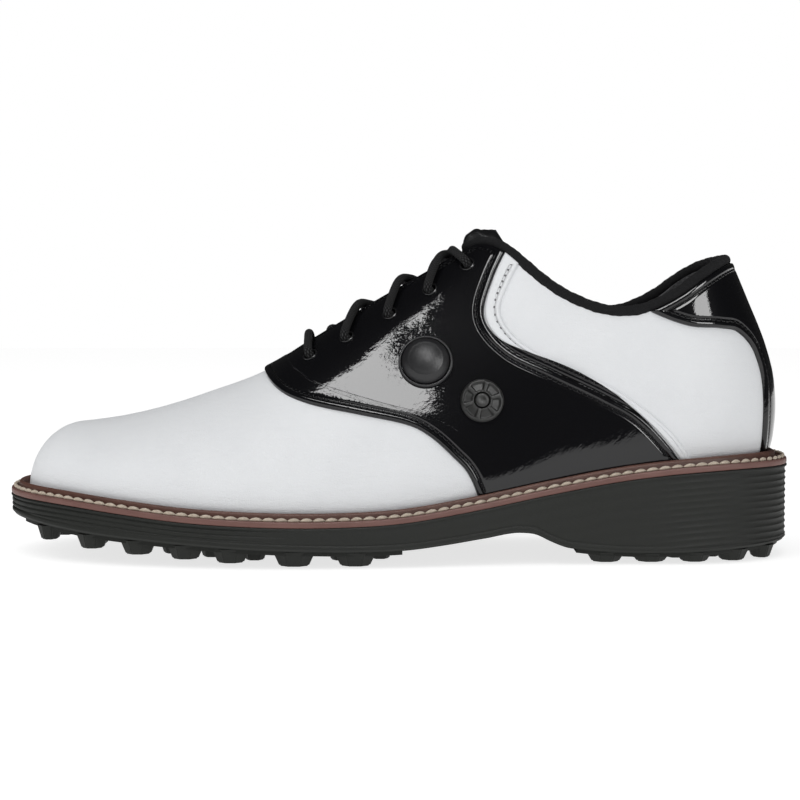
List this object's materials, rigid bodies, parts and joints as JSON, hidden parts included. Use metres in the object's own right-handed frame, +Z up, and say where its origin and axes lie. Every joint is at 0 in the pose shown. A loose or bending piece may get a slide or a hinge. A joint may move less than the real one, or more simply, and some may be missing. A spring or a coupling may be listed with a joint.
{
  "type": "golf shoe",
  "caption": "Left golf shoe: white leather and black patent saddle oxford with laces, side air pump and release valve, brown welt and lugged rubber outsole.",
  "frame": {"origin": "on the floor under the centre of the outsole", "axes": "+X towards the heel, -X towards the toe, -Y towards the lateral (outer) side with the pump, +Y towards the medial side, +Z up"},
  "size_m": [0.3047, 0.1103, 0.127],
  "materials": {
    "leather_white": "tumbled full-grain leather, satin, cool white",
    "patent_black": "black patent leather, high gloss",
    "textile_black": "black woven textile lining and binding",
    "lace_black": "round braided polyester lace, waxed black",
    "aglet_black": "black shrink-fit lace tip",
    "eyelet_black": "blind eyelet, black",
    "foam": "open-cell padding foam",
    "stiffener": "thermoplastic stiffener sheet",
    "bladder": "welded polyurethane film",
    "welt_brown": "brown storm welt, waxed edge",
    "outsole_rubber": "moulded dark grey rubber, matte",
    "board": "insole board fibre",
    "footbed": "moulded foam footbed with black textile cover",
    "cork": "granulated cork filler",
    "steel": "spring steel",
    "pump_rubber": "moulded black rubber, satin",
    "valve_plastic": "moulded dark grey plastic"
  },
  "bodies": {
    "shoe": {"aglet_lateral": "aglet_black", "aglet_medial": "aglet_black", "air_bladder_lateral": "bladder", "air_bladder_medial": "bladder", "air_hose": "bladder", "collar_binding": "textile_black", "collar_foam": "foam", "cork_filler": "cork", "eyelet_lateral_1": "eyelet_black", "eyelet_lateral_2": "eyelet_black", "eyelet_lateral_3": "eyelet_black", "eyelet_lateral_4": "eyelet_black", "eyelet_lateral_5": "eyelet_black", "eyelet_medial_1": "eyelet_black", "eyelet_medial_2": "eyelet_black", "eyelet_medial_3": "eyelet_black", "eyelet_medial_4": "eyelet_black", "eyelet_medial_5": "eyelet_black", "facing_stay_lateral": "stiffener", "facing_stay_medial": "stiffener", "footbed": "footbed", "forefoot_tread": "outsole_rubber", "heel_counter": "stiffener", "heel_patch": "patent_black", "heel_tread": "outsole_rubber", "insole_board": "board", "lace": "lace_black", "lace_tail_lateral": "lace_black", "lace_tail_medial": "lace_black", "outsole_unit": "outsole_rubber", "pump_check_valve": "bladder", "pump_socket": "pump_rubber", "quarter_band_lateral": "leather_white", "quarter_band_medial": "leather_white", "quarter_lateral": "leather_white", "quarter_lining": "textile_black", "quarter_medial": "leather_white", "release_bezel": "valve_plastic", "release_spring": "steel", "saddle_lateral": "patent_black", "saddle_medial": "patent_black", "shank": "steel", "toe_puff": "stiffener", "vamp": "leather_white", "vamp_lining": "textile_black", "welt": "welt_brown"},
    "tongue": {"tongue": "patent_black", "tongue_foam": "foam", "tongue_lining": "textile_black"},
    "pump_bulb": {"pump_bulb": "pump_rubber"},
    "release_button": {"release_button": "valve_plastic"}
  },
  "joints": [
    {"name": "tongue_fold", "type": "hinge", "parent": "shoe", "child": "tongue", "pos_m": [-0.04715, 0, 0.06882], "axis": [0, 1, 0], "range_deg": [0, 12], "stiffness_Nm_per_rad": 1},
    {"name": "pump_press", "type": "slide", "parent": "shoe", "child": "pump_bulb", "axis": [0.0421, 0.9285, -0.3688], "range_m": [0, 0.0022], "stiffness_N_per_m": 1500},
    {"name": "release_press", "type": "slide", "parent": "shoe", "child": "release_button", "axis": [-0.0127, 0.975, -0.222], "range_m": [0, 0.0008], "stiffness_N_per_m": 2500}
  ]
}
